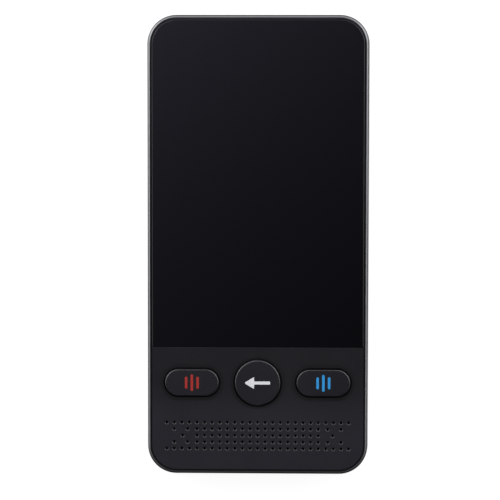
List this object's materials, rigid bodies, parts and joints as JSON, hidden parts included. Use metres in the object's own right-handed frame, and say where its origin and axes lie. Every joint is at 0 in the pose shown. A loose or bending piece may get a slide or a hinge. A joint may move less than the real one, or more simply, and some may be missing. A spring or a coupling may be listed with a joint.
{
  "type": "handheld translator",
  "caption": "Slim handheld translator with glass screen, pill and round front keys over a speaker grille, side keys, card tray, USB socket, headphone jack and rear camera.",
  "frame": {"origin": "middle of the back face, on which the part lies", "axes": "+Z out of the screen, +Y to the top end, +X to the user's right as the screen is read"},
  "size_m": [0.061, 0.1264, 0.013],
  "materials": {
    "frame_metal": "satin anodised, dark grey",
    "cover_plastic": "fine matte grain, near black",
    "black_glass": "polished, black printed from behind",
    "panel_plastic": "matte charcoal",
    "key_plastic": "matte charcoal",
    "display": "laminated display module",
    "steel_sheet": "plain sheet",
    "circuit_board": "green solder mask",
    "flex_film": "amber film",
    "mesh": "fine woven mesh",
    "foam_rubber": "soft black",
    "speaker_plastic": "plain",
    "battery_foil": "dull foil",
    "chip_plastic": "plain black",
    "black_plastic": "plain black",
    "led": "yellow phosphor",
    "clear_plastic": "clear",
    "spring_metal": "gold plated",
    "ivory_plastic": "plain",
    "screw_steel": "plain"
  },
  "bodies": {
    "housing": {"frame": "frame_metal", "back_cover": "cover_plastic", "cover_glass": "black_glass", "display_panel": "display", "mid_plate": "steel_sheet", "front_panel": "panel_plastic", "key_board": "circuit_board", "key_switches": "steel_sheet", "key_flex": "flex_film", "grille_mesh": "mesh", "speaker_gasket": "foam_rubber", "speaker": "speaker_plastic", "battery": "battery_foil", "main_board": "circuit_board", "board_chips": "chip_plastic", "shield_cans": "steel_sheet", "card_reader": "steel_sheet", "side_switches": "steel_sheet", "headphone_jack": "black_plastic", "camera_module": "black_plastic", "camera_window": "black_glass", "flash_led": "led", "flash_guide": "clear_plastic", "antenna": "flex_film", "antenna_springs": "spring_metal", "usb_board": "circuit_board", "usb_socket": "steel_sheet", "microphones": "spring_metal", "vibration_motor": "steel_sheet", "board_flex": "flex_film", "flex_connectors": "ivory_plastic", "display_flex": "flex_film", "plate_screws": "screw_steel", "board_screws": "screw_steel", "key_board_screws": "screw_steel", "usb_board_screws": "screw_steel"},
    "left_key": {"left_key": "key_plastic"},
    "right_key": {"right_key": "key_plastic"},
    "back_key": {"back_key": "key_plastic"},
    "power_key": {"power_key": "frame_metal"},
    "volume_key": {"volume_key": "frame_metal"},
    "card_tray": {"card_tray": "frame_metal"}
  },
  "joints": [
    {"name": "left_key_press", "type": "slide", "parent": "housing", "child": "left_key", "axis": [0, 0, -1], "range_m": [0, 0.0005], "stiffness_N_per_m": 1500, "springref_m": -0.0005},
    {"name": "right_key_press", "type": "slide", "parent": "housing", "child": "right_key", "axis": [0, 0, -1], "range_m": [0, 0.0005], "stiffness_N_per_m": 1500, "springref_m": -0.0005},
    {"name": "back_key_press", "type": "slide", "parent": "housing", "child": "back_key", "axis": [0, 0, -1], "range_m": [0, 0.0005], "stiffness_N_per_m": 1500, "springref_m": -0.0005},
    {"name": "power_press", "type": "slide", "parent": "housing", "child": "power_key", "axis": [-1, 0, 0], "range_m": [0, 0.00025], "stiffness_N_per_m": 1500, "springref_m": -0.00025},
    {"name": "volume_rock", "type": "hinge", "parent": "housing", "child": "volume_key", "pos_m": [0.0289, 0.042, 0.0068], "axis": [0, 0, 1], "range_deg": [-1.4, 1.4], "stiffness_Nm_per_rad": 0.1},
    {"name": "card_tray_slide", "type": "slide", "parent": "housing", "child": "card_tray", "axis": [-1, 0, 0], "range_m": [0, 0.018]}
  ]
}
